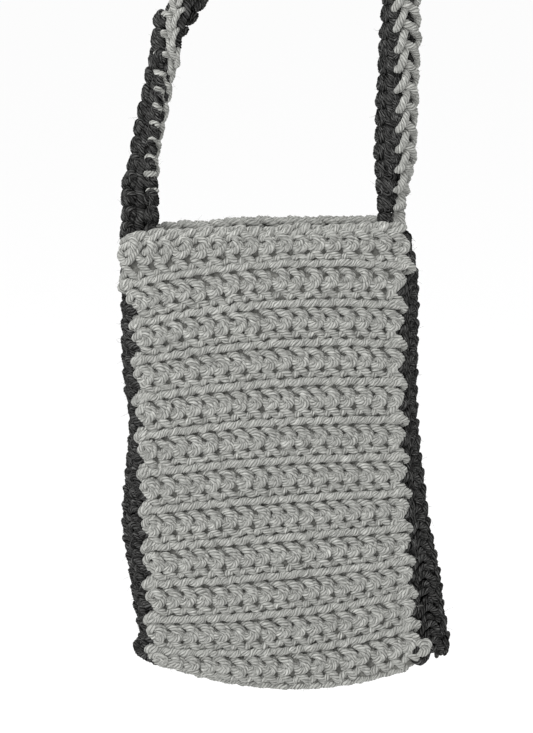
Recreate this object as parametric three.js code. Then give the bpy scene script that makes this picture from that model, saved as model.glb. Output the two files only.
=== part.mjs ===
// Crocheted carry pouch with a shoulder strap.
// Millimetres, +Z up, the front faces -Y. The origin is the point where the strap hangs,
// on the inner face of the loop's top.
//
// The pouch is a light front, back and bottom panel joined by seams to two dark gussets.
// The strap is a dark band with a light braid along one edge. It is turned flat to the
// front where it enters the mouth and rests flatwise on whatever holds the loop up.

import * as THREE from 'three';

// Driving dimensions
const POUCH_HEIGHT = 189;      // mouth to the bottom corners
const POUCH_DEPTH = 28;        // outer face of the front panel to outer face of the back panel
const BOTTOM_SAG = 14;         // how far the bottom hangs below its corners
const FRONT_BULGE = 4;         // how far the front panel stands proud in its middle
const FABRIC = 5;              // thickness of the crocheted panels and gussets
const GAP = 0.3;               // clearance between neighbouring pieces
const SEAM = 4;                // width of a joining seam
const RIM_HEIGHT = 11;
const RIM_THICKNESS = 7;
const RIM_LEFT = -63;          // ends of the two rims, from the middle of the mouth
const RIM_RIGHT = 64.5;
const BAND_WIDTH = 14;
const BAND_THICKNESS = 5.5;
const EDGING_WIDTH = 3.5;
const EDGING_THICKNESS = 7.5;
const EDGING_GAP = 1.1;        // wider than GAP, because both are twisted
const HINGE_RISE = 5;          // fold line of the strap above the rims
const FOLD_LENGTH = 4;         // length of the thinned strap end on each side of the fold line
const FOLD_EDGE = 0.2;         // thickness left at the fold line
const MOUTH = new THREE.Vector3(-21, 0, -237.25);   // middle of the mouth, level with the rim tops

// Side outlines of the hanging pouch, as x from the middle of the mouth at the mouth,
// halfway down and at the bottom corners.
const PANEL_LEFT = [-57, -53, -49];
const PANEL_RIGHT = [59, 59.5, 67];
const GUSSET_LEFT = [-63.5, -60.5, -56];
const GUSSET_RIGHT = [66, 68.5, 79];

// Route of the strap from the left fold line over the top to the right one:
// x from the middle of the mouth, height above the fold line, and the turn in degrees of
// the braided edge from the loop's inside towards the front.
const STRAP_ROUTE = [
  [-53, 0, 0], [-53, 12, 2], [-51.5, 26, 12], [-48.5, 42, 26], [-45.5, 57, 46], [-43.5, 70, 84],
  [-38, 81, 120], [-31, 94, 140], [-21.5, 117, 138], [-13, 142, 116], [-8, 170, 102], [-6.5, 200, 98],
  [-2, 219, 97], [8.5, 231, 96], [21, 235, 96], [33.5, 231, 96], [44, 219, 97], [49, 200, 98],
  [52, 172, 100], [55, 142, 103], [56.7, 116, 108], [56.3, 96, 116], [55.7, 72, 128], [55, 48, 134],
  [54.5, 28, 140], [54, 12, 158], [53.5, 0, 180],
];
const STRAP_STEPS = 84;
const RIGHT_END_SHARE = 0.7;   // share of the band's width left where it enters the mouth
const NARROWING_STEPS = 12;

const LIGHT_YARN = { color: 0xb0b1ac, roughness: 0.95, metalness: 0 };
const DARK_YARN = { color: 0x4a4a49, roughness: 0.95, metalness: 0 };

const pouch = new THREE.Group();
pouch.position.copy(MOUTH);
const strap = new THREE.Group();
strap.position.set(MOUTH.x, MOUTH.y, MOUTH.z + HINGE_RISE);

function addPiece(group, name, geometry, yarn) {
  const piece = new THREE.Mesh(geometry, new THREE.MeshStandardMaterial(yarn));
  piece.name = name;
  group.add(piece);
}

// A closed body from vertices and triangles, wound so that its faces point out.
function closedBody(points, triangles) {
  const volume = triangles.reduce((sum, [a, b, c]) => {
    return sum + points[a].dot(new THREE.Vector3().crossVectors(points[b], points[c]));
  }, 0);
  const outward = volume > 0 ? triangles : triangles.map(([a, b, c]) => [a, c, b]);
  const geometry = new THREE.BufferGeometry();
  geometry.setFromPoints(points);
  geometry.setIndex(outward.flat());
  geometry.computeVertexNormals();
  return geometry;
}

// A body through a row of rings with the same number of corners, closed at both ends.
function loft(rings) {
  const corners = rings[0].length;
  const triangles = [];
  for (let ring = 0; ring < rings.length - 1; ring += 1) {
    for (let corner = 0; corner < corners; corner += 1) {
      const next = (corner + 1) % corners;
      const low = ring * corners;
      const high = low + corners;
      triangles.push([low + corner, low + next, high + next]);
      triangles.push([low + corner, high + next, high + corner]);
    }
  }
  const last = (rings.length - 1) * corners;
  for (let corner = 1; corner < corners - 1; corner += 1) {
    triangles.push([0, corner + 1, corner]);
    triangles.push([last, last + corner, last + corner + 1]);
  }
  return closedBody(rings.flat(), triangles);
}

// A sheet of even thickness: outer(u, v) gives its outer face and inward(u, v) the
// direction in which the thickness is laid.
function sheet(outer, inward, columns, rows, thickness = FABRIC) {
  const points = [];
  for (const depth of [0, thickness]) {
    for (let row = 0; row <= rows; row += 1) {
      for (let column = 0; column <= columns; column += 1) {
        const u = column / columns;
        const v = row / rows;
        points.push(outer(u, v).addScaledVector(inward(u, v), depth));
      }
    }
  }
  const stride = columns + 1;
  const layer = stride * (rows + 1);
  const triangles = [];
  for (let row = 0; row < rows; row += 1) {
    for (let column = 0; column < columns; column += 1) {
      const a = row * stride + column;
      const b = a + 1;
      const c = a + stride + 1;
      const d = a + stride;
      triangles.push([a, b, c], [a, c, d]);
      triangles.push([layer + a, layer + c, layer + b], [layer + a, layer + d, layer + c]);
    }
  }
  const border = [];
  for (let column = 0; column < columns; column += 1) border.push(column);
  for (let row = 0; row < rows; row += 1) border.push(row * stride + columns);
  for (let column = columns; column > 0; column -= 1) border.push(rows * stride + column);
  for (let row = rows; row > 0; row -= 1) border.push(row * stride);
  border.forEach((from, index) => {
    const to = border[(index + 1) % border.length];
    triangles.push([from, layer + from, layer + to], [from, layer + to, to]);
  });
  return closedBody(points, triangles);
}

// A rectangle with its corners cut off, in the plane of wide and thick.
function section(centre, wide, thick, width, thickness) {
  const cut = Math.min(width, thickness) * 0.25;
  const x = width / 2;
  const y = thickness / 2;
  const corners = [
    [x - cut, -y], [x, cut - y], [x, y - cut], [x - cut, y],
    [cut - x, y], [-x, y - cut], [-x, cut - y], [cut - x, -y],
  ];
  return corners.map(([a, b]) => {
    return centre.clone().addScaledVector(wide, a).addScaledVector(thick, b);
  });
}

// Value at share v down the pouch of an outline given at its top, middle and bottom.
function outline([top, middle, bottom], v) {
  const curve = 2 * (top + bottom) - 4 * middle;
  return top + (bottom - top - curve) * v + curve * v * v;
}

function sag(share) {
  return BOTTOM_SAG * (1 - (2 * share - 1) ** 2);
}

const X = new THREE.Vector3(1, 0, 0);
const Y = new THREE.Vector3(0, 1, 0);
const Z = new THREE.Vector3(0, 0, 1);
const HALF_DEPTH = POUCH_DEPTH / 2;
const INNER_DEPTH = HALF_DEPTH - FABRIC;
const SEAM_INSET = 1.5;        // seam centre from the outline of the panels

// Front and back panels, from under the rim to the sagging bottom edge
const PANEL_TOP = RIM_HEIGHT + GAP;
const PANEL_MARGIN = SEAM_INSET + SEAM / 2 + GAP;

function panelPoint(u, v, y) {
  const corner = PANEL_TOP + (POUCH_HEIGHT - PANEL_TOP) * v;
  const left = outline(PANEL_LEFT, corner / POUCH_HEIGHT) + PANEL_MARGIN;
  const right = outline(PANEL_RIGHT, corner / POUCH_HEIGHT) - PANEL_MARGIN;
  const drop = corner + sag(u) * v * v;
  return new THREE.Vector3(left + (right - left) * u, y, -drop);
}

function frontBulge(u, v) {
  return FRONT_BULGE * Math.sin(Math.PI * u) * Math.sin(Math.PI * Math.min(1, v * 0.85 + 0.15));
}

const frontOuter = (u, v) => panelPoint(u, v, -HALF_DEPTH - frontBulge(u, v));
const backOuter = (u, v) => panelPoint(u, v, HALF_DEPTH);
addPiece(pouch, 'front_panel', sheet(frontOuter, () => Y, 10, 10), LIGHT_YARN);
addPiece(pouch, 'back_panel', sheet(backOuter, () => Y.clone().negate(), 8, 6), LIGHT_YARN);

// Bottom panel, between the lower edges of the front and the back
const BOTTOM_HALF = INNER_DEPTH - GAP;

const bottomOuter = (u, v) => panelPoint(u, 1, BOTTOM_HALF * (2 * v - 1));
addPiece(pouch, 'bottom_panel', sheet(bottomOuter, () => Z, 10, 2), LIGHT_YARN);

// Gussets, bowed outwards between their two seams
const GUSSET_TOP = 18;
const GUSSET_FOOT = POUCH_HEIGHT - FABRIC - GAP;
const GUSSET_HALF = INNER_DEPTH - GAP / 2;

function gussetOuter(panelOutline, gussetOutline) {
  return (u, v) => {
    const drop = GUSSET_TOP + (GUSSET_FOOT - GUSSET_TOP) * v;
    const seamX = outline(panelOutline, drop / POUCH_HEIGHT);
    const bow = outline(gussetOutline, drop / POUCH_HEIGHT) - seamX;
    return new THREE.Vector3(seamX + bow * Math.sin(Math.PI * u), GUSSET_HALF * (2 * u - 1), -drop);
  };
}

addPiece(pouch, 'left_gusset', sheet(gussetOuter(PANEL_LEFT, GUSSET_LEFT), () => X, 6, 10), DARK_YARN);
addPiece(
  pouch,
  'right_gusset',
  sheet(gussetOuter(PANEL_RIGHT, GUSSET_RIGHT), () => X.clone().negate(), 6, 10),
  DARK_YARN,
);

// Rims, the edging along the top of the front and back panels
for (const [name, side] of [['front_rim', -1], ['back_rim', 1]]) {
  const rings = [RIM_LEFT, RIM_RIGHT].map((x) => {
    const centre = new THREE.Vector3(x, side * (HALF_DEPTH - RIM_THICKNESS / 2), -RIM_HEIGHT / 2);
    return section(centre, Y, Z, RIM_THICKNESS, RIM_HEIGHT);
  });
  addPiece(pouch, name, loft(rings), LIGHT_YARN);
}

// Upright seams, one along each edge of the front and the back
const SEAM_STEPS = 8;
const SIDES = [['left', PANEL_LEFT, 1], ['right', PANEL_RIGHT, -1]];
for (const [sideName, panelOutline, inward] of SIDES) {
  for (const [faceName, face] of [['front', -1], ['back', 1]]) {
    const rings = [];
    for (let step = 0; step <= SEAM_STEPS; step += 1) {
      const drop = PANEL_TOP + (POUCH_HEIGHT - PANEL_TOP) * (step / SEAM_STEPS);
      const x = outline(panelOutline, drop / POUCH_HEIGHT) + inward * SEAM_INSET;
      const centre = new THREE.Vector3(x, face * (HALF_DEPTH - FABRIC / 2), -drop);
      rings.push(section(centre, X, Y, SEAM, FABRIC - GAP));
    }
    addPiece(pouch, `${faceName}_${sideName}_seam`, loft(rings), LIGHT_YARN);
  }
}

// Bottom seams, from the bottom panel's ends to the feet of the gussets
for (const [sideName, panelOutline, inward] of SIDES) {
  const x = panelOutline[2] + inward * SEAM_INSET;
  const rings = [-GUSSET_HALF, GUSSET_HALF].map((y) => {
    const centre = new THREE.Vector3(x, y, FABRIC / 2 - POUCH_HEIGHT);
    return section(centre, X, Z, SEAM, FABRIC);
  });
  addPiece(pouch, `${sideName}_bottom_seam`, loft(rings), LIGHT_YARN);
}

// Strap bases, which turn from the strap's flat end to the gusset's top edge.
// Each row is depth below the fold line, turn from X towards Y, share of the width, thickness.
const GUSSET_RISE = GUSSET_TOP + HINGE_RISE - GAP;
const BASE_ROUTE = [
  [GAP / 2, 0, 1, FOLD_EDGE],
  [FOLD_LENGTH, 0, 1, BAND_THICKNESS],
  [9, 30, 0.8, FABRIC],
  [13, 65, 0.8, FABRIC],
  [17, 90, 1, FABRIC],
  [GUSSET_RISE, 90, 1, FABRIC],
];
const STRAP_ENDS = [
  ['left', STRAP_ROUTE[0][0], outline(GUSSET_LEFT, GUSSET_TOP / POUCH_HEIGHT) + FABRIC / 2, 1],
  ['right', STRAP_ROUTE.at(-1)[0], outline(GUSSET_RIGHT, GUSSET_TOP / POUCH_HEIGHT) - FABRIC / 2,
    RIGHT_END_SHARE],
];
for (const [sideName, strapX, gussetX, endShare] of STRAP_ENDS) {
  const rings = BASE_ROUTE.map(([depth, turn, share, thickness]) => {
    const angle = THREE.MathUtils.degToRad(turn);
    const wide = new THREE.Vector3(Math.cos(angle), Math.sin(angle), 0);
    const thick = new THREE.Vector3(-Math.sin(angle), Math.cos(angle), 0);
    const slide = THREE.MathUtils.smoothstep(depth, FOLD_LENGTH, 17);
    const centre = new THREE.Vector3(strapX + (gussetX - strapX) * slide, 0, HINGE_RISE - depth);
    const width = BAND_WIDTH * share * (endShare + (1 - endShare) * slide);
    return section(centre, wide, thick, width, thickness);
  });
  addPiece(pouch, `${sideName}_strap_base`, loft(rings), DARK_YARN);
}

// Strap band and its braided edging, swept along the route. The route lies in the XZ plane.
const route = new THREE.CatmullRomCurve3(
  STRAP_ROUTE.map(([x, z]) => new THREE.Vector3(x, 0, z)),
  false,
  'centripetal',
);
const turns = new THREE.CatmullRomCurve3(
  STRAP_ROUTE.map(([, , turn]) => new THREE.Vector3(THREE.MathUtils.degToRad(turn), 0, 0)),
  false,
  'centripetal',
);

function strapFrame(step) {
  const share = step / STRAP_STEPS;
  const t = route.getUtoTmapping(share);
  const tangent = route.getTangent(t);
  const inward = new THREE.Vector3(tangent.z, 0, -tangent.x);
  const turn = turns.getPoint(t).x;
  const towardsBraid = inward.clone().multiplyScalar(Math.cos(turn)).addScaledVector(Y, -Math.sin(turn));
  const across = new THREE.Vector3().crossVectors(tangent, towardsBraid);
  return { centre: route.getPoint(t), towardsBraid, across };
}

function bandWidth(step) {
  const fromRight = Math.min(1, (STRAP_STEPS - step) / NARROWING_STEPS);
  return BAND_WIDTH * (RIGHT_END_SHARE + (1 - RIGHT_END_SHARE) * fromRight);
}

// The thinned ends, level with the fold line and square to it.
function endRing(step, facing) {
  const end = strapFrame(step).centre.setZ(GAP / 2);
  return section(end, X, Y.clone().multiplyScalar(facing), bandWidth(step), FOLD_EDGE);
}

const bandRings = [endRing(0, 1)];
for (let step = 1; step < STRAP_STEPS; step += 1) {
  const { centre, towardsBraid, across } = strapFrame(step);
  bandRings.push(section(centre, towardsBraid, across, bandWidth(step), BAND_THICKNESS));
}
bandRings.push(endRing(STRAP_STEPS, -1));
addPiece(strap, 'strap_band', loft(bandRings), DARK_YARN);

const edgingRings = [];
for (let step = 1; step < STRAP_STEPS; step += 1) {
  const { centre, towardsBraid, across } = strapFrame(step);
  const reach = bandWidth(step) / 2 + EDGING_GAP + EDGING_WIDTH / 2;
  const middle = centre.clone().addScaledVector(towardsBraid, reach);
  edgingRings.push(section(middle, towardsBraid, across, EDGING_WIDTH, EDGING_THICKNESS));
}
addPiece(strap, 'strap_edging', loft(edgingRings), LIGHT_YARN);

const model = new THREE.Group();
model.add(pouch, strap);

export default model;
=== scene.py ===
import math

import bpy
import numpy as np
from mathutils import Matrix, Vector


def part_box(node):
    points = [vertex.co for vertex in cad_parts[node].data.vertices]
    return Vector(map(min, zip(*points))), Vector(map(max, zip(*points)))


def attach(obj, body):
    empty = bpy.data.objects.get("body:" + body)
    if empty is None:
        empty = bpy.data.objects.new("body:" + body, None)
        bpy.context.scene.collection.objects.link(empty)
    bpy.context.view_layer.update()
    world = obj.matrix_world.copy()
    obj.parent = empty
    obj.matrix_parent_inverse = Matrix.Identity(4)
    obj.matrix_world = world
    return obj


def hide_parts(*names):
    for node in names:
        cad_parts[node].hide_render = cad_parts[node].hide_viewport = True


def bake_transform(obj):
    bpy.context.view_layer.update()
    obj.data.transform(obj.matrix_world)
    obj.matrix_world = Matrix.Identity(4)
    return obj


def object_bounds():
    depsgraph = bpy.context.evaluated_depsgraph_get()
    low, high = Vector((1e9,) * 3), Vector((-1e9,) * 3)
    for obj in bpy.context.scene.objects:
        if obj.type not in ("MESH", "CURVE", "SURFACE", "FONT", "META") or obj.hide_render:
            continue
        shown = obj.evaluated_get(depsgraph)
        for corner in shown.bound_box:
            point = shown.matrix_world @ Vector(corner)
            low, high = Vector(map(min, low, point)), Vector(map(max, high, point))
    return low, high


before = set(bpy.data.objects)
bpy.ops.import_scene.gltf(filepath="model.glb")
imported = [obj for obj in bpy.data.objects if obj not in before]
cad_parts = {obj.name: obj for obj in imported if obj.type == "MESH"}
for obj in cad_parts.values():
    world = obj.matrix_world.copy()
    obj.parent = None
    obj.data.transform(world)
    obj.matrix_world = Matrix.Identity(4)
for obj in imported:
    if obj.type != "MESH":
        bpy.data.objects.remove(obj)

# A crocheted pouch on a strap, built stitch by stitch. Every strand of yarn is a closed tube with
# twisted plies. Lengths are in millimetres until a mesh is made, and the frame is the CAD model's.
# "Front" is towards -Y, and "left" and "right" are as seen from the front.
CAD_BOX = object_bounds()
MM = 0.001
RANDOM = np.random.default_rng(17)

# Camera: it looks along +Y, a little down, and sees the pouch and the lower part of the strap.
VIEW_HEIGHT = 315.0
VIEW_CENTRE = (-20.0, -14.0, -297.0)
VIEW_DISTANCE = 1500.0
VIEW_ELEVATION = math.radians(11.5)
SENSOR = 36.0

# Pouch, as the CAD model has it, from the middle of the mouth
POUCH_HEIGHT = 189.0
BOTTOM_SAG = 14.0
FRONT_BULGE = 4.0
PANEL_LEFT = (-57.0, -53.0, -49.0)
PANEL_RIGHT = (59.0, 59.5, 67.0)
GUSSET_LEFT = (-63.5, -60.5, -56.0)
GUSSET_RIGHT = (66.0, 68.5, 79.0)
HINGE_RISE = 5.0

# Route of the strap from the CAD model: x from the middle of the mouth, height above the fold
# line, and the turn in degrees of the braided edge from the loop's inside towards the front.
STRAP_ROUTE = (
    (-53, 0, 0), (-53, 12, 2), (-51.5, 26, 12), (-48.5, 42, 26), (-45.5, 57, 46), (-43.5, 70, 84),
    (-38, 81, 120), (-31, 94, 140), (-21.5, 117, 138), (-13, 142, 116), (-8, 170, 102), (-6.5, 200, 98),
    (-2, 219, 97), (8.5, 231, 96), (21, 235, 96), (33.5, 231, 96), (44, 219, 97), (49, 200, 98),
    (52, 172, 100), (55, 142, 103), (56.7, 116, 108), (56.3, 96, 116), (55.7, 72, 128), (55, 48, 134),
    (54.5, 28, 140), (54, 12, 158), (53.5, 0, 180),
)

# Yarn
YARN_RADIUS = 1.8
LAY_LENGTH = 6.8          # one full turn of the plies
LOOSE_LAY = 8.0
PLIES = 5
GROOVE = 0.15             # depth of the groove between two plies, as a share of the radius
HAIR_RADIUS = 0.07
HAIR_LENGTH = (0.8, 2.4)

# Front and back fabric: a raised rope, a row of knots and a row of slanted legs in each repeat
STITCHES = 17
PITCH = 6.9
REPEAT = 17.1
REPEATS = 11
FIRST_RIDGE = 15.3        # drop of the first rope below the mouth
FABRIC_WIDTH = 118.0      # from one upright seam to the other


def camera():
    data = bpy.data.cameras.new("camera")
    data.sensor_fit = "VERTICAL"
    data.sensor_height = SENSOR
    data.lens = SENSOR * VIEW_DISTANCE / VIEW_HEIGHT
    data.clip_end = 50
    eye = bpy.data.objects.new("camera", data)
    bpy.context.scene.collection.objects.link(eye)
    back = Vector((0, -math.cos(VIEW_ELEVATION), math.sin(VIEW_ELEVATION)))
    eye.location = (Vector(VIEW_CENTRE) + back * VIEW_DISTANCE) * MM
    eye.rotation_euler = back.to_track_quat("Z", "Y").to_euler()
    bpy.context.scene.camera = eye


camera()

MOUTH = np.array([-21.0, 0.0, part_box("front_rim")[1].z / MM])


# Yarn tubes

def spline(control, count):
    """count points on the Catmull-Rom curves through control, shaped (strands, points, 3)."""
    last = control.shape[1] - 1
    t = np.linspace(0, last, count)
    i = np.minimum(t.astype(int), last - 1)
    f = (t - i)[None, :, None]
    a, b, c, d = (control[:, np.clip(i + k, 0, last)] for k in (-1, 0, 1, 2))
    square = 2 * a - 5 * b + 4 * c - d
    cube = 3 * b - a - 3 * c + d
    return 0.5 * (2 * b + (c - a) * f + square * f ** 2 + cube * f ** 3)


def unit(v):
    return v / np.maximum(np.linalg.norm(v, axis=-1, keepdims=True), 1e-9)


def carried_frames(paths):
    """Tangent, side and up of each point, carried along the strands without twist."""
    tangent = unit(np.gradient(paths, axis=1))
    start = np.where(np.abs(tangent[:, :1, 2:]) > 0.8, [1.0, 0.0, 0.0], [0.0, 0.0, 1.0])[:, 0]
    side = np.empty_like(paths)
    for k in range(paths.shape[1]):
        previous = start if k == 0 else side[:, k - 1]
        along = tangent[:, k]
        side[:, k] = unit(previous - along * np.sum(previous * along, axis=-1, keepdims=True))
    return tangent, side, np.cross(tangent, side)


def tubes(paths, radius=YARN_RADIUS, around=3, lay_length=LAY_LENGTH):
    """Vertices, faces and yarn coordinates of twisted closed tubes along paths (strands, points, 3)."""
    strands, points, _ = paths.shape
    corners = PLIES * around
    tangent, side, up = carried_frames(paths)
    step = np.linalg.norm(np.diff(paths, axis=1), axis=-1)
    along = np.concatenate([np.zeros((strands, 1)), np.cumsum(step, axis=1)], axis=1)
    start = RANDOM.uniform(0, 2 * np.pi, (strands, 1))
    wander = np.cumsum(RANDOM.normal(0, 0.09, (strands, points)), axis=1)
    turn = start - 2 * np.pi * along / lay_length + wander
    corner = np.arange(corners) * 2 * np.pi / corners
    groove = 1 - np.abs(np.sin(corner * PLIES / 2))
    shape = 1 - GROOVE * groove ** 1.3
    ends = np.minimum(along, along[:, -1:] - along)
    taper = np.sqrt(np.clip(ends / (0.9 * radius), 0.12, 1))
    bulge = 1 + 0.05 * np.sin(along * RANDOM.uniform(0.9, 1.6, (strands, 1)) + 3 * start)
    plies = np.repeat(RANDOM.uniform(0.9, 1.05, (strands, PLIES)), around, axis=1)
    angle = turn[:, :, None] + corner
    spread = radius * (bulge * taper)[:, :, None] * shape * plies[:, None]
    out = np.cos(angle)[..., None] * side[:, :, None] + np.sin(angle)[..., None] * up[:, :, None]
    ring = paths[:, :, None] + spread[..., None] * out
    shift = RANDOM.uniform(0, 900, (strands, 1, 1))
    yarn = np.stack([
        np.broadcast_to(np.cos(corner) * radius, spread.shape),
        np.broadcast_to(np.sin(corner) * radius, spread.shape),
        np.broadcast_to(along[:, :, None] + shift, spread.shape),
    ], axis=-1)
    # groove: how deep each corner lies in a groove between plies, the mask the yarn material paints shade
    # with
    depth = np.broadcast_to(groove, spread.shape)
    s, p, c = np.meshgrid(np.arange(strands), np.arange(points - 1), np.arange(corners), indexing="ij")
    first = (s * points + p) * corners
    quads = np.stack([first + c, first + (c + 1) % corners,
                      first + corners + (c + 1) % corners, first + corners + c], axis=-1).reshape(-1, 4)
    base = np.arange(strands)[:, None] * points * corners
    cap_start = base + np.arange(corners)[::-1]
    cap_end = base + (points - 1) * corners + np.arange(corners)
    caps = np.concatenate([cap_start, cap_end])
    return {"points": ring.reshape(-1, 3), "out": out.reshape(-1, 3), "yarn": yarn.reshape(-1, 3),
            "groove": depth.reshape(-1), "quads": quads, "caps": caps}


def hairs(parts, share=0.012):
    """Loose fibres that stand off the strands: thin, curved and three-sided."""
    points = np.concatenate([part["points"] for part in parts])
    out = np.concatenate([part["out"] for part in parts])
    chosen = RANDOM.random(len(points)) < share
    root, out = points[chosen], out[chosen]
    count = len(root)
    lean = unit(out + RANDOM.normal(0, 0.6, out.shape))
    bend = RANDOM.normal(0, 0.6, out.shape)
    t = np.linspace(0, 1, 4)[None, :, None]
    reach = RANDOM.uniform(*HAIR_LENGTH, (count, 1, 1))
    paths = root[:, None] + reach * (lean[:, None] * t + bend[:, None] * t * t)
    _, side, up = carried_frames(paths)
    angle = np.arange(3) * 2 * np.pi / 3
    radius = HAIR_RADIUS * (1 - 0.7 * t)
    ring = (paths[:, :, None] + radius[..., None] * np.cos(angle)[:, None] * side[:, :, None]
            + radius[..., None] * np.sin(angle)[:, None] * up[:, :, None])
    h, p, c = np.meshgrid(np.arange(count), np.arange(3), np.arange(3), indexing="ij")
    first = (h * 4 + p) * 3
    quads = np.stack([first + c, first + (c + 1) % 3, first + 3 + (c + 1) % 3, first + 3 + c], axis=-1)
    base = np.arange(count)[:, None] * 12
    caps = np.concatenate([base + np.array([2, 1, 0]), base + np.array([9, 10, 11])])
    yarn = ring + RANDOM.uniform(0, 900, (count, 1, 1, 1))
    return {"points": ring.reshape(-1, 3), "out": np.zeros((count * 12, 3)), "yarn": yarn.reshape(-1, 3),
            "groove": np.zeros(count * 12), "quads": quads.reshape(-1, 4), "caps": caps}


def build_mesh(name, parts, material):
    """One object from several lots of tubes, with loose fibres on them."""
    points, yarn, groove, faces, sizes, offset = [], [], [], [], [], 0
    for part in [*parts, hairs(parts)]:
        points.append(part["points"])
        yarn.append(part["yarn"])
        groove.append(part["groove"])
        for key in ("quads", "caps"):
            faces.append((part[key] + offset).reshape(-1))
            sizes.append(np.full(len(part[key]), part[key].shape[1]))
        offset += len(part["points"])
    points = np.concatenate(points) * MM
    loops = np.concatenate(faces).astype(np.int32)
    sizes = np.concatenate(sizes).astype(np.int32)
    mesh = bpy.data.meshes.new(name)
    mesh.vertices.add(len(points))
    mesh.vertices.foreach_set("co", points.astype(np.float32).reshape(-1))
    mesh.loops.add(len(loops))
    mesh.loops.foreach_set("vertex_index", loops)
    mesh.polygons.add(len(sizes))
    mesh.polygons.foreach_set("loop_start", np.concatenate([[0], np.cumsum(sizes)[:-1]]).astype(np.int32))
    mesh.polygons.foreach_set("use_smooth", np.ones(len(sizes), bool))
    mesh.update(calc_edges=True)
    mesh.attributes.new("yarn", "FLOAT_VECTOR", "POINT").data.foreach_set(
        "vector", np.concatenate(yarn).astype(np.float32).reshape(-1))
    mesh.attributes.new("groove", "FLOAT", "POINT").data.foreach_set(
        "value", np.concatenate(groove).astype(np.float32))
    mesh.materials.append(material)
    piece = bpy.data.objects.new(name, mesh)
    bpy.context.scene.collection.objects.link(piece)
    return piece


# Surfaces of the pouch: each gives points at shares u across and depths down, in millimetres

def outline(values, share):
    top, middle, bottom = values
    curve = 2 * (top + bottom) - 4 * middle
    return top + (bottom - top - curve) * share + curve * share * share


def smooth(t):
    t = np.clip(t, 0, 1)
    return t * t * (3 - 2 * t)


FULL_DROP = POUCH_HEIGHT + BOTTOM_SAG
FABRIC_MIDDLE = 11.0      # y of the fabric's middle, from the pouch's middle


def row_ends(share):
    """How far the left and right ends of a row lie above its middle, at a share of the way down."""
    start = smooth(share / 0.08)
    left = -(2.8 + 7.5 * start) * (1 - 0.72 * share) + 15.6 * share ** 17
    right = 0.5 - 1.5 * start + 18.0 * share ** 3.3 - 7.0 * share ** 17
    return left, right


def mouth_flare(depth):
    """How far the fabric spreads beyond its seams near the mouth, on the left and on the right."""
    left = 5.6 * smooth(depth / 14) * (1 - smooth((depth - 18) / 20))
    right = 3.6 * smooth(depth / 11) * (1 - smooth((depth - 14) / 12))
    return left, right


def panel_point(u, drop, y, back):
    """A point of the front or back fabric. drop is measured at the middle of the row."""
    share = np.clip(drop / FULL_DROP, 0, 1.02)
    x_share = 1 - u if back else u
    side = 2 * x_share - 1
    left_end, right_end = row_ends(share)
    depth = drop - (right_end - left_end) / 2 * side - (right_end + left_end) / 2 * side ** 2
    level = np.clip(depth / POUCH_HEIGHT, 0, 1)
    left_flare, right_flare = mouth_flare(depth)
    left = outline(PANEL_LEFT, level) - left_flare * (1 - back)
    right = outline(PANEL_RIGHT, level) + right_flare
    return np.stack([left + (right - left) * x_share, y * np.ones_like(depth), -depth], axis=-1)


def front_surface(u, drop):
    share = np.clip(drop / FULL_DROP, 0, 1)
    fullness = np.sin(np.pi * np.clip(u, 0, 1)) * np.sin(np.pi * np.minimum(1, share * 0.85 + 0.15))
    return panel_point(u, drop, -FABRIC_MIDDLE - FRONT_BULGE * fullness, False)


def back_surface(u, drop):
    return panel_point(u, drop, FABRIC_MIDDLE, True)


def swell(level, at, spread):
    return np.exp(-((level - at) / spread) ** 2)


def left_tuck(level):
    """How far the left gusset is drawn in from its bow, at levels from the mouth, 0, to the foot, 1."""
    top = 2.5 * (1 - smooth(level / 0.5))
    foot = 2.0 * smooth((level - 0.86) / 0.1)
    return 2.0 + top + foot + 2.8 * swell(level, 0.46, 0.09) - 2.5 * swell(level, 0.71, 0.1)


def right_tuck(level):
    mouth = 4.0 * (1 - smooth(level / 0.14))
    return 2.0 + mouth + 1.8 * swell(level, 0.45, 0.16) - 2.4 * smooth((level - 0.68) / 0.16)


def gusset_surface(seam, bow, half, sign):
    def surface(u, drop):
        level = drop / POUCH_HEIGHT
        edge = outline(seam, level)
        tuck = left_tuck if sign < 0 else right_tuck
        out = outline(bow, level) - edge - sign * tuck(level)
        y = half * (2 * u - 1) * sign
        return np.stack([edge + out * np.sin(np.pi * np.clip(u, 0, 1)), y, -drop * np.ones_like(u)], axis=-1)
    return surface


def lay(surface, strands, count):
    """Map strands, shaped (strands, points, 3) as (across, drop, height), onto a surface."""
    return lay_points(surface, spline(strands, count))


def lay_points(surface, curves, tilt=0.02):
    u, drop, out = curves[..., 0], curves[..., 1], curves[..., 2]
    here = surface(u, drop)
    across = surface(u + tilt, drop) - surface(u - tilt, drop)
    down = surface(u, drop + 0.5) - surface(u, drop - 0.5)
    normal = unit(np.cross(down, across))
    return here + normal * out[..., None] + MOUTH


def cells(template, columns, rows, pitch, drops, first=0.5, jitter=0.15, mirror=None, shifts=None):
    """Copies of one strand for each stitch of each row, as shares across, drops and heights."""
    template = np.array(template, float)
    column = np.arange(columns)
    if shifts is None:
        shifts = np.zeros((rows, columns, 3))
    u = (column[None, :] + first) / columns
    flip = np.ones(rows) if mirror is None else mirror
    local = template + RANDOM.normal(0, jitter, (rows, columns, len(template), 3)) + shifts[:, :, None]
    out = np.empty_like(local)
    out[..., 0] = u[:, :, None] + flip[:, None, None] * local[..., 0] / (pitch * columns)
    out[..., 1] = np.asarray(drops)[:, None, None] + local[..., 1]
    out[..., 2] = local[..., 2]
    return out.reshape(rows * columns, len(template), 3)


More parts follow.
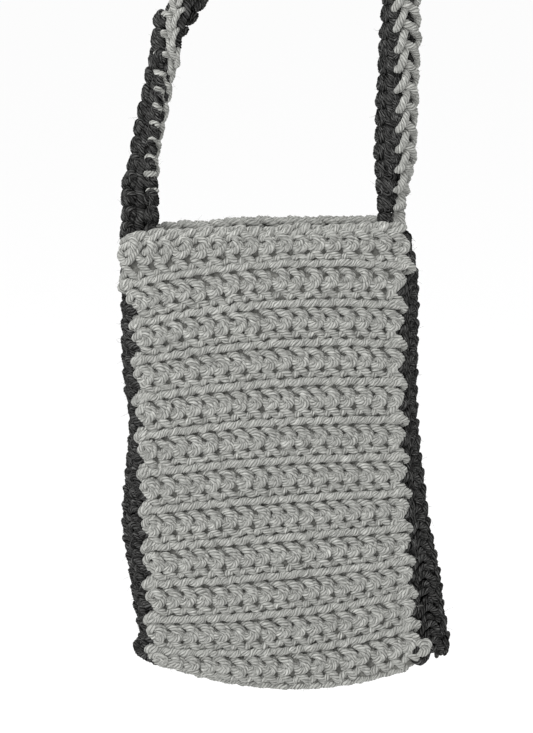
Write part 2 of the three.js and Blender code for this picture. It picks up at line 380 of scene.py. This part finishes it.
# Strands of one stitch of the fabric, each with its length: right, down from the rope above, and
# out, in millimetres. A cap curls over a lobe, legs stand under them, and a bar lies on the next.
CAP = ((-4.2, 2.8, -0.6), (-2.6, 2.8, 1.2), (-0.7, 3.5, 2.5), (0.8, 4.9, 2.9),
       (1.0, 6.5, 2.5), (-0.2, 7.4, 1.5), (-1.7, 7.1, 0.2))
LOBE = ((-3.2, 6.2, -0.7), (-2.7, 8.0, 1.1), (-1.3, 9.5, 2.2), (0.9, 9.7, 2.5),
        (2.4, 8.4, 2.3), (2.7, 6.4, 1.8), (1.9, 4.6, 1.0), (0.6, 3.6, -0.6))
LEG_DOWN = ((-2.8, 10.4, -0.2), (-1.2, 11.0, 1.5), (0.8, 12.5, 2.0), (2.6, 14.5, 1.4), (3.5, 16.0, -0.4))
LEG_UP = ((-3.8, 16.0, -0.4), (-2.6, 14.2, 1.1), (-0.9, 13.2, 1.2), (0.8, 11.6, 0.2))
KNOT = ((CAP, 13.5, 1.8), (LOBE, 17.0, 1.8), (LEG_DOWN, 10.0, 1.8), (LEG_UP, 7.5, 1.7))


def rope_rows(surface, drops, around, spacing, rise=2.3, right_end=1.01):
    """The raised rope along each row, a strand with a slight wave at each stitch."""
    points = STITCHES * 4 + 1
    wave = np.sin(np.arange(points) * np.pi / 2)
    ropes = np.empty((len(drops), points, 3))
    ropes[..., 0] = np.linspace(-0.01, right_end, points)
    ropes[..., 1] = np.array(drops)[:, None] + 0.3 * wave + RANDOM.normal(0, 0.18, ropes.shape[:2])
    ropes[..., 2] = rise + 0.3 * wave + RANDOM.normal(0, 0.12, ropes.shape[:2])
    ropes[:, (0, -1), 2] = -0.5
    return [tubes(lay(surface, ropes, int(FABRIC_WIDTH / spacing)), around=around)]


def stitch_rows(surface, drops, around, spacing, strands=KNOT, lay_length=LAY_LENGTH):
    """The tubes of rows of stitches, each stitch with its own small shift."""
    rows = len(drops)
    shifts = RANDOM.normal(0, 0.28, (rows, STITCHES, 3)) * np.array([1, 1, 0.5])
    parts = []
    for template, length, radius in strands:
        paths = cells(template, STITCHES, rows, PITCH, drops, shifts=shifts)
        strand = lay(surface, paths, int(length / spacing) + 1)
        parts.append(tubes(strand, radius=radius, around=around, lay_length=lay_length))
    return parts


def link_noise(tree, source, scale, detail, roughness=0.6):
    """A noise texture that reads a vector scaled along each axis."""
    mapping = tree.nodes.new("ShaderNodeMapping")
    mapping.inputs["Scale"].default_value = scale
    noise = tree.nodes.new("ShaderNodeTexNoise")
    noise.inputs["Scale"].default_value = 1.0
    noise.inputs["Detail"].default_value = detail
    noise.inputs["Roughness"].default_value = roughness
    tree.links.new(source, mapping.inputs["Vector"])
    tree.links.new(mapping.outputs["Vector"], noise.inputs["Vector"])
    return noise.outputs["Fac"]


def link_ramp(tree, source, stops):
    """A colour ramp with stops of (position, colour)."""
    ramp = tree.nodes.new("ShaderNodeValToRGB")
    for element, (position, colour) in zip(ramp.color_ramp.elements, stops):
        element.position = position
        element.color = (*colour, 1)
    tree.links.new(source, ramp.inputs["Fac"])
    return ramp.outputs["Color"]


def link_mix(tree, kind, factor, first, second):
    mix = tree.nodes.new("ShaderNodeMix")
    mix.data_type = "RGBA"
    mix.blend_type = kind
    for socket, value in (("Factor", factor), ("A", first), ("B", second)):
        if isinstance(value, (int, float, tuple)):
            mix.inputs[socket].default_value = value
        else:
            tree.links.new(value, mix.inputs[socket])
    return mix.outputs["Result"]


def yarn_material(name, low, high, groove_shade_colour, sheen, least_groove_shade, streak_start, shade):
    """Matte plied wool: streaks of fibre from low to high along the plies, patchy painted shade in the
    grooves between the plies, at least as strong as its given least share, and a slow random change
    of brightness along each strand, down to shade."""
    material = bpy.data.materials.new(name)
    material.use_nodes = True
    tree = material.node_tree
    shader = tree.nodes["Principled BSDF"]
    yarn = tree.nodes.new("ShaderNodeAttribute")
    yarn.attribute_name = "yarn"
    groove = tree.nodes.new("ShaderNodeAttribute")
    groove.attribute_name = "groove"
    fibres = link_noise(tree, yarn.outputs["Vector"], (1.7, 1.7, 0.5), 4, 0.75)
    strand = link_noise(tree, yarn.outputs["Vector"], (0.3, 0.3, 0.16), 2)
    flecks = link_noise(tree, yarn.outputs["Vector"], (0.8, 0.8, 0.8), 3, 0.7)
    streaks = link_ramp(tree, fibres, ((streak_start, low), (0.62, high)))
    # Painted shade: how far the grooves between the plies are darkened, made patchy by the flecks noise
    groove_shade_mask = tree.nodes.new("ShaderNodeMath")
    groove_shade_mask.operation = "MULTIPLY"
    tree.links.new(groove.outputs["Fac"], groove_shade_mask.inputs[0])
    tree.links.new(link_ramp(tree, flecks, ((0.35, (least_groove_shade,) * 3), (0.62, (1.0,) * 3))), groove_shade_mask.inputs[1])
    tint = link_ramp(tree, strand, ((0.34, (shade,) * 3), (0.62, (1.0,) * 3)))
    # Painted shade: the colour is mixed towards the dark groove colour in the grooves between the plies
    shaded = link_mix(tree, "MIX", groove_shade_mask.outputs["Value"], streaks, (*groove_shade_colour, 1))
    colour = link_mix(tree, "MULTIPLY", 1.0, shaded, tint)
    bump = tree.nodes.new("ShaderNodeBump")
    bump.inputs["Strength"].default_value = 0.7
    bump.inputs["Distance"].default_value = 0.5 * MM
    tree.links.new(fibres, bump.inputs["Height"])
    tree.links.new(colour, shader.inputs["Base Color"])
    tree.links.new(bump.outputs["Normal"], shader.inputs["Normal"])
    shader.inputs["Roughness"].default_value = 0.92
    shader.inputs["Sheen Weight"].default_value = sheen
    shader.inputs["Sheen Roughness"].default_value = 0.5
    shader.inputs["Specular IOR Level"].default_value = 0.0
    return material


def core_material(name, low, high):
    """Unspun wool, for the pouch's inside and, in colours darker than the yarn, as painted shade in the gaps
    between stitches.
    """
    material = bpy.data.materials.new(name)
    material.use_nodes = True
    tree = material.node_tree
    shader = tree.nodes["Principled BSDF"]
    place = tree.nodes.new("ShaderNodeTexCoord")
    wool = link_noise(tree, place.outputs["Object"], (900, 900, 900), 4)
    bump = tree.nodes.new("ShaderNodeBump")
    bump.inputs["Distance"].default_value = 0.4 * MM
    tree.links.new(link_ramp(tree, wool, ((0.3, low), (0.7, high))), shader.inputs["Base Color"])
    tree.links.new(wool, bump.inputs["Height"])
    tree.links.new(bump.outputs["Normal"], shader.inputs["Normal"])
    shader.inputs["Roughness"].default_value = 0.95
    shader.inputs["Specular IOR Level"].default_value = 0.0
    return material


# The third colour of each yarn is painted shade for the grooves between its plies
LIGHT = yarn_material("light_yarn", (0.15, 0.151, 0.14), (0.67, 0.675, 0.64), (0.09, 0.09, 0.084), 0.1,
                      0.35, 0.36, 0.8)
DARK = yarn_material("dark_yarn", (0.001, 0.001, 0.001), (0.19, 0.19, 0.186), (0.001, 0.001, 0.001), 0.0,
                     0.7, 0.42, 0.45)
# Each core pair: painted shade, darker than its yarn, for the sheet's outside seen through the gaps between
# stitches, then the pouch's inside
LIGHT_GAP_SHADE_AND_INSIDE = (core_material("light_gap_painted_shade", (0.095, 0.095, 0.088), (0.23, 0.23, 0.214)),
              core_material("light_inside", (0.22, 0.22, 0.20), (0.55, 0.555, 0.525)))
DARK_GAP_SHADE_AND_INSIDE = (core_material("dark_gap_painted_shade", (0.002, 0.002, 0.002), (0.006, 0.006, 0.006)),
             core_material("dark_inside", (0.01, 0.01, 0.01), (0.09, 0.09, 0.088)))

FINE = 0.7                # spacing of a tube's rings on the sides that the camera sees
COARSE = 1.0
DETAIL = {"front": (3, FINE), "back": (2, COARSE)}


def core_sheet(name, surface, drops, counts, wave, materials, shares=(0.02, 0.98), outer=0.0,
               inner=-1.4):
    """The closed sheet behind the stitches, rippled by them. wave is (pitch, repeat), and materials
    are those of its outside, painted shade where it shows between the stitches, and of its inside."""
    columns, rows = counts
    u, drop = np.meshgrid(np.linspace(*shares, columns + 1), np.linspace(*drops, rows + 1))
    width = np.linalg.norm(surface(u[:, -1:], drop[:, -1:]) - surface(u[:, :1], drop[:, :1]), axis=-1)
    ripple = 0.35 * np.cos(2 * np.pi * drop / wave[1]) * np.cos(np.pi * u * width / wave[0])
    layers = []
    for height, share in ((outer, 1), (inner, 2)):
        layers.append(lay_points(surface, np.stack([u, drop, height + share * ripple], axis=-1)))
    points = np.concatenate([layer.reshape(-1, 3) for layer in layers])
    index = np.arange((rows + 1) * (columns + 1)).reshape(rows + 1, columns + 1)
    quads = np.stack([index[:-1, :-1], index[1:, :-1], index[1:, 1:], index[:-1, 1:]], axis=-1)
    quads = quads.reshape(-1, 4)
    rim = np.concatenate([index[0, :-1], index[:-1, -1], index[-1, :0:-1], index[:0:-1, 0]])
    following = np.roll(rim, -1)
    walls = np.stack([rim, following, following + index.size, rim + index.size], axis=-1)
    faces = np.concatenate([quads, quads[:, ::-1] + index.size, walls])
    mesh = bpy.data.meshes.new(name)
    mesh.from_pydata((points * MM).tolist(), [], faces.tolist())
    mesh.polygons.foreach_set("use_smooth", np.ones(len(faces), bool))
    for material in materials:
        mesh.materials.append(material)
    inside = np.arange(len(faces)) >= len(quads)
    mesh.polygons.foreach_set("material_index", inside.astype(np.int32))
    piece = bpy.data.objects.new(name, mesh)
    bpy.context.scene.collection.objects.link(piece)
    return piece


# Front and back panels, with their repeats in three pieces each
SIDES = {"front": front_surface, "back": back_surface}
SPLITS = ((0, 1, 2, 3), (4, 5, 6, 7), (8, 9, 10))
panel_pieces = {"front": [], "back": []}
for side, surface in SIDES.items():
    for index, rows in enumerate(SPLITS):
        ridges = FIRST_RIDGE + REPEAT * np.array(rows)
        parts = stitch_rows(surface, ridges, *DETAIL[side]) + rope_rows(surface, ridges, *DETAIL[side])
        piece = build_mesh(f"{side}_stitches_{index + 1}", parts, LIGHT)
        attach(piece, "pouch")
        panel_pieces[side].append(piece)


# Rims: a chain of loops over the top edge, with one row of knots under it
RIM_DROP = 1.2
RIM_OUTSIDE = ((-4.0, 3.6, -0.8), (-2.8, 2.5, 1.1), (-1.0, 1.2, 2.2), (1.4, -0.1, 2.1),
               (3.4, -1.0, 1.0), (4.6, -1.1, -0.8))
RIM_INSIDE = ((-5.2, 2.2, -2.6), (-3.4, 0.9, -3.8), (-1.2, -0.3, -4.3), (1.4, -0.8, -3.8),
              (3.4, -0.6, -2.6), (4.4, 0.6, -1.2))
RIM_TOP = ((-4.6, 1.6, -0.8), (-2.6, 0.0, -0.6), (-0.4, -1.0, -1.0), (2.0, -1.1, -1.7), (4.0, 0.0, -2.4))
for side, surface in SIDES.items():
    chain = ((RIM_OUTSIDE, 11.5, 1.65), (RIM_INSIDE, 11.5, 1.8), (RIM_TOP, 9.5, 1.6))
    parts = stitch_rows(surface, [RIM_DROP], *DETAIL[side], strands=chain, lay_length=LOOSE_LAY)
    parts += stitch_rows(surface, [RIM_DROP - 2.2], *DETAIL[side])
    piece = build_mesh(f"{side}_rim_braid", parts, LIGHT)
    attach(piece, "pouch")
    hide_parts(f"{side}_rim")
    panel_pieces[side].append(piece)

for side, surface in SIDES.items():
    core = core_sheet(f"{side}_core", surface, (0.5, FULL_DROP - 0.5), (72, 120), (PITCH, REPEAT / 2),
                      LIGHT_GAP_SHADE_AND_INSIDE, outer=1.0)
    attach(core, "pouch")
    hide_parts(f"{side}_panel")


# Bottom: the fabric goes on under the pouch from the front to the back
BOTTOM_HALF = 11.0


def bottom_surface(u, along):
    """Points under the pouch, from the front edge at along 0 to the back edge."""
    edge = panel_point(u, FULL_DROP * np.ones_like(along), 0.0, False)
    hollow = 3.0 * np.sin(np.pi * np.clip(along / (2 * BOTTOM_HALF), 0, 1))
    shift = np.stack([np.zeros_like(along), along - BOTTOM_HALF, hollow], axis=-1)
    return edge + shift


parts = rope_rows(bottom_surface, [0.0, 2 * BOTTOM_HALF], 3, FINE, rise=0.3, right_end=0.97)
parts += stitch_rows(bottom_surface, [1.5], 2, COARSE)
bottom_stitches = build_mesh("bottom_stitches", parts, LIGHT)
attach(bottom_stitches, "pouch")
bottom_core = core_sheet("bottom_core", bottom_surface, (0, 2 * BOTTOM_HALF), (72, 14), (PITCH, REPEAT / 2),
                         LIGHT_GAP_SHADE_AND_INSIDE)
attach(bottom_core, "pouch")
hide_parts("bottom_panel")


# Gussets: three columns of nested arches, one above the other
GUSSET_COLUMNS = 3
GUSSET_PITCH = 6.0
GUSSET_ROW = 7.4
GUSSET_ROWS = 25
GUSSET_TOP = 5.1
GUSSET_HALF = 9.5
ARCH_OUTER = ((-2.9, 8.8, -0.6), (-2.5, 5.6, 0.8), (-1.5, 2.4, 1.5), (0.0, 0.6, 1.7), (1.5, 2.4, 1.5),
              (2.5, 5.6, 0.9), (2.9, 9.0, -0.5))
ARCH_INNER = ((-1.4, 9.4, -0.4), (-1.0, 6.6, 0.9), (0.0, 4.4, 1.3), (1.0, 6.4, 1.0), (1.3, 9.4, -0.4))
ARCHES = ((ARCH_OUTER, 17.5, 1.7), (ARCH_INNER, 10.0, 1.4))


def arch_rows(surface, shares, pitch, width, drops, strands, rise=1.0):
    """Tubes of the arches in columns at shares across a band."""
    parts = []
    for share in shares:
        for template, length, radius in strands:
            paths = cells(template, 1, len(drops), width * pitch, drops, first=share)
            paths[..., 2] *= np.reshape(rise, (-1, 1))
            parts.append(tubes(lay(surface, paths, int(length / FINE) + 1), radius=radius))
    return parts


for side, seam, bow, sign in (("left", PANEL_LEFT, GUSSET_LEFT, -1), ("right", PANEL_RIGHT, GUSSET_RIGHT, 1)):
    surface = gusset_surface(seam, bow, GUSSET_HALF, sign)
    drops = GUSSET_TOP + GUSSET_ROW * np.arange(GUSSET_ROWS)
    shares = (np.arange(GUSSET_COLUMNS) + 0.5) / GUSSET_COLUMNS
    parts = arch_rows(surface, shares, GUSSET_PITCH, GUSSET_COLUMNS, drops, ARCHES)
    stitches = build_mesh(f"{side}_gusset_stitches", parts, DARK)
    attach(stitches, "pouch")
    core = core_sheet(f"{side}_gusset_core", surface, (GUSSET_TOP, POUCH_HEIGHT), (12, 110),
                      (GUSSET_PITCH, GUSSET_ROW), DARK_GAP_SHADE_AND_INSIDE)
    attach(core, "pouch")
    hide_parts(f"{side}_gusset")


# Upright seams: at each rope's end two light loops reach over the gusset, and between the pairs
# a dark loop from the gusset reaches over the fabric. x is outwards from the fabric's edge.
LONG_TOOTH = ((-6.0, -0.6, 0.8), (-3.2, -1.4, 2.1), (-0.2, -1.2, 2.3), (1.7, 0.4, 1.2), (0.8, 2.2, -0.8),
              (-1.6, 2.6, -1.2))
SHORT_TOOTH = ((-5.6, 3.6, 0.6), (-3.4, 3.6, 2.0), (-1.2, 4.6, 2.2), (0.3, 6.2, 1.2), (-0.6, 7.8, -0.6),
               (-3.0, 8.2, -1.0))
END_LOOP = ((-5.0, 13.6, -0.2), (-4.0, 12.0, 1.9), (-2.6, 10.4, 2.3), (-2.6, 8.2, 1.4), (-3.8, 7.0, -0.2))
DARK_HOOK = ((3.4, 8.6, -3.6), (2.4, 9.2, -0.6), (0.6, 10.4, 1.6), (-1.9, 11.4, 1.7), (-3.2, 12.4, -0.4))
EDGES = {("front", "left"): (0.0, -1), ("front", "right"): (1.0, 1),
         ("back", "left"): (1.0, 1), ("back", "right"): (0.0, -1)}
FOOT_KNOT_DROP = 192.4               # of the round knot at the foot of the front's right seam
FOOT_KNOT_SIZE = (1.15, 0.7, 1.0)    # its size against the fabric's knots
FOOT_KNOT_MIDDLE = ((-4.8, 7.4, -0.6), (-2.6, 7.2, 1.2), (-0.4, 7.0, 1.6), (2.0, 6.8, 0.4))
seam_drops = FIRST_RIDGE + REPEAT * np.arange(REPEATS)
for (face, side), (edge, outward) in EDGES.items():
    flip = np.full(len(seam_drops), outward)
    lots = {"light": (LONG_TOOTH, SHORT_TOOTH, END_LOOP), "dark": (DARK_HOOK,)}
    for shade, templates in lots.items():
        parts = []
        if (face, side, shade) == ("front", "right", "light"):
            for template, length, radius in (*KNOT[:2], (FOOT_KNOT_MIDDLE, 7.0, 1.9)):
                knot = np.array(template) * FOOT_KNOT_SIZE
                paths = cells(knot, 1, 1, FABRIC_WIDTH, [FOOT_KNOT_DROP], first=1.02)
                parts.append(tubes(lay(front_surface, paths, int(length / FINE)), radius=radius))
        for template in templates:
            paths = cells(template, 1, len(seam_drops), FABRIC_WIDTH, seam_drops, first=edge, jitter=0.25,
                          mirror=flip)
            parts.append(tubes(lay(SIDES[face], paths, int(12 / FINE))))
        material = LIGHT if shade == "light" else DARK
        piece = build_mesh(f"{face}_{side}_seam_{shade}", parts, material)
        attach(piece, "pouch")
        if shade == "light":
            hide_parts(f"{face}_{side}_seam")


# Bottom seams: two rows of loops at the foot of each gusset. Each side has the gusset's seam line, the
# direction outwards, and how far out and how high its two rows lie.
FOOT_LOOPS = 5
FOOT_LOOP = np.array(((-3.0, -3.0, 2.2), (-1.6, -3.2, -0.8), (0.8, -2.2, -2.0), (2.8, 0.2, -0.8),
                      (3.0, 2.2, 2.2)))
FEET = {"left": (PANEL_LEFT, -1, (0.6, 4.4), (0.0, 0.6)), "right": (PANEL_RIGHT, 1, (2.0, 8.0), (-1.4, 3.0))}
foot_bow = np.sin(np.pi * (np.arange(FOOT_LOOPS) + 0.5) / FOOT_LOOPS)
for side, (seam, sign, offsets, rises) in FEET.items():
    loops = np.empty((len(offsets), FOOT_LOOPS, len(FOOT_LOOP), 3))
    loops[:] = FOOT_LOOP * np.array([sign, 1, 1])
    loops[..., 0] += seam[2] + sign * (np.array(offsets)[:, None] * foot_bow)[..., None]
    loops[..., 1] += np.linspace(-8.5, 8.5, FOOT_LOOPS)[:, None]
    loops[..., 2] += np.array(rises)[:, None, None] - POUCH_HEIGHT
    strands = spline(loops.reshape(-1, len(FOOT_LOOP), 3), 22) + MOUTH
    piece = build_mesh(f"{side}_bottom_seam_loops", [tubes(strands)], DARK)
    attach(piece, "pouch")
    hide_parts(f"{side}_bottom_seam")


# Strap: the dark band and its light braid follow the CAD route
BAND_WIDTH = 14.0
RIGHT_PLAIN = 0.5         # shares of its half-widths that the band keeps where its right end enters
RIGHT_BRAIDED = 0.05      # the mouth, on its plain side and on its braided side
RIGHT_SPREAD = 32.0
LEFT_CURL = 0.36          # share of its width that the left arm's band loses where it curls
BAND_HALF_THICKNESS = 0.5
BAND_COLUMNS = 3
BAND_PITCH = 4.2
BAND_ROW = 7.4
TUCK = 13.0               # how far the strap goes on below its fold line, into the mouth
EDGING_PITCH = 8.6
BRAID_OUT = 0.6           # how far the braid's middle stands off the band's edge, and how much more
BRAID_RIGHT_OUT = 2.0     # it does at the right end
BRAID_DRAWN_IN = 2.6      # how far it is drawn in low on the left arm, and how far it lies behind the
BRAID_BEHIND = 2.4        # band there
BRAID_ASIDE = 4.0         # how far it moves aside where the left arm turns over

route = [(STRAP_ROUTE[0][0] - 1, -TUCK, 0)] + list(STRAP_ROUTE) + [(STRAP_ROUTE[-1][0] + 0.5, -TUCK, 180)]
samples = spline(np.array([route], float), 2400)[0]
centre = np.stack([samples[:, 0], np.zeros(len(samples)), samples[:, 1] + HINGE_RISE], axis=-1)
turn = np.radians(samples[:, 2])
tangent = unit(np.gradient(centre, axis=0))
inward = np.stack([tangent[:, 2], np.zeros(len(samples)), -tangent[:, 0]], axis=-1)
to_braid = inward * np.cos(turn)[:, None] + np.array([0, -1.0, 0]) * np.sin(turn)[:, None]
across = np.cross(tangent, to_braid)
travelled = np.concatenate([[0], np.cumsum(np.linalg.norm(np.diff(centre, axis=0), axis=1))])
STRAP_LENGTH = travelled[-1]


def strap_at(field, drop):
    """A field along the strap, such as its centre, at distances measured back from its right end."""
    return np.stack([np.interp(STRAP_LENGTH - drop, travelled, field[:, k]) for k in range(3)], axis=-1)


def from_left_fold(drop):
    """Distance along the strap from its left fold line, for one measured back from its right end."""
    return STRAP_LENGTH - TUCK - drop


def right_end(drop):
    """1 up to the right fold line, then falling to 0 where the band has its full width."""
    return 1 - smooth((drop - TUCK) / RIGHT_SPREAD)


def band_edges(drop):
    """How far the band reaches from the route to its plain edge and to its braided edge."""
    left = from_left_fold(drop)
    curl = LEFT_CURL * smooth((left - 10) / 14) * (1 - smooth((left - 60) / 12))
    plain = BAND_WIDTH / 2 * (1 - curl - (1 - RIGHT_PLAIN) * right_end(drop))
    braided = BAND_WIDTH / 2 * (1 - curl - (1 - RIGHT_BRAIDED) * right_end(drop))
    return plain, braided


def strap_surface(face):
    """The band's front face, -1, or its other face, 1."""
    def surface(u, drop):
        plain, braided = band_edges(drop)
        share = u if face < 0 else 1 - u
        reach = share * (plain + braided) - plain
        return (strap_at(centre, drop) + strap_at(to_braid, drop) * reach[..., None]
                + strap_at(across, drop) * face * BAND_HALF_THICKNESS)
    return surface


def braid_surface(u, drop):
    """The band's edge that carries the braid: u is millimetres across the edge. Low on the left
    arm the braid lies behind the band, and where the arm turns over it gives way to the knots."""
    left = from_left_fold(drop)
    behind = 1 - smooth((left - 55) / 30)
    aside = BRAID_ASIDE * smooth((left - 62) / 8) * (1 - smooth((left - 90) / 12))
    out = band_edges(drop)[1] + BRAID_OUT - BRAID_DRAWN_IN * behind + BRAID_RIGHT_OUT * right_end(drop)
    return (strap_at(centre, drop) + strap_at(to_braid, drop) * out[..., None]
            + strap_at(across, drop) * (u + BRAID_BEHIND * behind + aside)[..., None])


def ride_strap(piece):
    """Applies the strap piece's placement to its mesh."""
    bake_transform(piece)


# Each face of the band has a column of knots along each edge and a thick rope between them
EDGE_OUTER = ((-1.6, 7.6, -0.7), (-1.7, 4.6, 0.6), (-1.1, 1.8, 1.1), (0.3, 0.7, 1.3), (1.5, 1.9, 1.1),
              (1.8, 4.6, 0.6), (1.3, 7.4, -0.6))
EDGE_INNER = ((-0.2, 7.8, 0.0), (-0.2, 5.2, 0.8), (0.2, 2.8, 1.0), (0.2, 1.6, 0.0))
EDGE_KNOT = ((EDGE_OUTER, 16.5, 1.5), (EDGE_INNER, 7.0, 1.4))
EDGE_SHARE = 0.13         # the outer knots' place across the band; the inner ones lie beside the braid
INNER_SHARE = 0.83
ROPE_RADIUS = 2.3

# Where the left arm turns over, the front's inner knots come round the edge, in front of the braid
TURN_KNOT = ((EDGE_OUTER, 16.5, 1.6), (EDGE_INNER, 7.0, 1.8))
TURN_KNOTS = 3
TURN_AT = 64.0            # the lowest of them, along the strap from the left fold

band_drops = np.arange(STRAP_LENGTH - 8.5, 1.0, -BAND_ROW)[::-1]
rope_drops = np.arange(1.5, STRAP_LENGTH - 1.5, FINE)
turn_drops = STRAP_LENGTH - TUCK - TURN_AT - 7.4 - BAND_ROW * np.arange(TURN_KNOTS)
turn_rope_drops = np.arange(turn_drops[-1] - 16, turn_drops[0] + 2, FINE)
knot_rise = 1 + 0.7 * smooth((band_drops - STRAP_LENGTH / 2) / 60)    # higher on the left arm
for name, face in (("strap_band_front", -1), ("strap_band_back", 1)):
    surface = strap_surface(face)
    shares = [share if face < 0 else 1 - share for share in (EDGE_SHARE, INNER_SHARE)]
    parts = arch_rows(surface, shares, BAND_PITCH, BAND_COLUMNS, band_drops, EDGE_KNOT, knot_rise)
    wave = np.sin(2 * np.pi * rope_drops / BAND_ROW)
    middle = shares[0] + (shares[1] - shares[0]) / 2
    rope = np.stack([middle + 0.03 * wave, rope_drops, 0.2 + 0.2 * wave], axis=-1)
    parts.append(tubes(lay_points(surface, rope[None]), radius=ROPE_RADIUS))
    if face < 0:
        parts += arch_rows(braid_surface, (-6.9,), 1.0, 1, turn_drops, TURN_KNOT)
        sideways = np.linspace(3.4, 0.2, len(turn_rope_drops))
        rope = np.stack([sideways, turn_rope_drops, -2.4 * np.ones_like(turn_rope_drops)], axis=-1)
        parts.append(tubes(lay_points(braid_surface, rope[None]), radius=ROPE_RADIUS))
    piece = build_mesh(name, parts, DARK)
    ride_strap(piece)

# Braid strands: across the edge, along the strap and out. A rope runs behind them, light low on the
# left arm and dark elsewhere, where it shows in the braid's holes.
BRAID_LEG = ((5.1, -5.0, -1.0), (4.7, -3.2, 1.5), (3.6, -0.6, 2.4), (2.4, 2.0, 2.3), (1.2, 3.8, 1.2),
             (0.4, 4.6, -0.4))
BRAID_CAP = ((3.0, -0.4, 0.2), (1.4, -1.8, 2.0), (-0.5, -3.3, 2.6), (-2.4, -4.9, 2.2), (-3.9, -6.7, 0.8),
             (-4.5, -8.0, -0.8))
BRAID_EDGE = ((-3.4, -5.2, -1.6), (-4.4, -2.8, 0.0), (-4.8, -0.4, 0.8), (-4.1, 2.0, 0.8), (-2.6, 4.0, -0.2))
BRAID = ((BRAID_LEG, 12.5, 1.6), (BRAID_CAP, 13.0, 1.8), (BRAID_EDGE, 10.5, 1.6))
BRAID_ROPE = 2.3
ROPE_SPLIT = STRAP_LENGTH - TUCK - 95.0
DRAWN_LEFT = 0.36          # shares of its width that the braid keeps low on the left arm and at the
DRAWN_RIGHT = 0.12         # right end
THICKER = 1.12             # the right arm's strands against their templates, and the left arm's
THINNER = 0.8


def braid_share(drop):
    """The braid's width, as a share of its strands' templates."""
    left = (DRAWN_LEFT - 1) * (1 - smooth((from_left_fold(drop) - 82) / 14))
    right = (DRAWN_RIGHT - 1) * (1 - smooth((drop - TUCK + 6) / 27))
    spread = 1 + 0.16 * smooth((drop - TUCK - 40) / 40)
    return spread * (1 + left + right)


braid_drops = TUCK - 2.0 + EDGING_PITCH * np.arange(int((STRAP_LENGTH - 2 * TUCK) / EDGING_PITCH))
parts = []
right_arm = braid_drops < STRAP_LENGTH / 2
for lot, thickness in ((right_arm, THICKER), (~right_arm, THINNER)):
    drops = braid_drops[lot]
    for template, length, radius in BRAID:
        loops = np.empty((len(drops), len(template), 3))
        loops[:] = np.array(template) + RANDOM.normal(0, 0.2, loops.shape)
        loops[..., 0] *= braid_share(drops)[:, None]
        loops[..., 1] += drops[:, None]
        parts.append(tubes(lay(braid_surface, loops, int(length / FINE)), radius=radius * thickness))
backing_drops = np.arange(TUCK, STRAP_LENGTH - TUCK, FINE)
height = -1.3 * np.ones_like(backing_drops)
rope = np.stack([-2.6 * braid_share(backing_drops), backing_drops, height], axis=-1)
light_rope = rope[None, backing_drops > ROPE_SPLIT]
dark_rope = rope[None, backing_drops <= ROPE_SPLIT]
parts.append(tubes(lay_points(braid_surface, light_rope), radius=BRAID_ROPE))
dark_part = tubes(lay_points(braid_surface, dark_rope), radius=BRAID_ROPE)
backing = build_mesh("strap_braid_backing", [dark_part], DARK)
ride_strap(backing)

# On the left arm, the braid's strands come through to the band's front between the knots
FINGER = ((2.6, 1.0, -1.0), (1.7, 0.1, 1.0), (0.2, -0.3, 1.9), (-1.2, 0.4, 1.2), (-1.8, 1.4, -0.6))
FINGERS = 12
finger_drops = band_drops[-FINGERS - 2:-2] + 0.2
fingers = cells(FINGER, 1, FINGERS, BAND_WIDTH, finger_drops, first=0.84, jitter=0.25)
parts.append(tubes(lay(strap_surface(-1), fingers, 12), radius=1.6))
turn_fingers = cells(FINGER, 1, TURN_KNOTS, 1.0, turn_drops + 0.4, first=-3.6, jitter=0.25)
parts.append(tubes(lay(braid_surface, turn_fingers, 12), radius=1.5))
braid = build_mesh("strap_braid", parts, LIGHT)
ride_strap(braid)
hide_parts("strap_edging")

strap_core = core_sheet("strap_core", strap_surface(-1), (1.0, STRAP_LENGTH - 1.0), (6, 260),
                        (BAND_PITCH, BAND_ROW), DARK_GAP_SHADE_AND_INSIDE, shares=(0.06, 0.94), inner=-1.0)
ride_strap(strap_core)
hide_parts("strap_band", "left_strap_base", "right_strap_base")


# A pale floor well below, and soft white light from all around with more from the upper left
FLOOR_DROP = 0.22


def studio():
    world = bpy.data.worlds.new("studio")
    world.use_nodes = True
    world.node_tree.nodes["Background"].inputs["Color"].default_value = (1, 1, 1, 1)
    world.node_tree.nodes["Background"].inputs["Strength"].default_value = 1.0
    bpy.context.scene.world = world
    bpy.context.scene.view_settings.view_transform = "Standard"
    lamp = bpy.data.lights.new("key", "AREA")
    lamp.energy = 8.4
    lamp.size = 0.65
    key = bpy.data.objects.new("key", lamp)
    bpy.context.scene.collection.objects.link(key)
    key.location = (-0.4, -0.7, 0.5)
    towards = key.location - Vector((-0.02, 0, -0.3))
    key.rotation_euler = towards.to_track_quat("Z", "Y").to_euler()


def floor():
    size = 12.0
    height = CAD_BOX[0][2] - FLOOR_DROP
    corners = [(x * size, y * size, height) for x, y in ((-1, -1), (1, -1), (1, 1), (-1, 1))]
    mesh = bpy.data.meshes.new("floor")
    mesh.from_pydata(corners, [], [(0, 1, 2, 3)])
    material = bpy.data.materials.new("floor")
    material.use_nodes = True
    shader = material.node_tree.nodes["Principled BSDF"]
    shader.inputs["Base Color"].default_value = (0.97, 0.97, 0.97, 1)
    shader.inputs["Roughness"].default_value = 1.0
    shader.inputs["Specular IOR Level"].default_value = 0.0
    mesh.materials.append(material)
    plane = bpy.data.objects.new("floor", mesh)
    bpy.context.scene.collection.objects.link(plane)


studio()
floor()
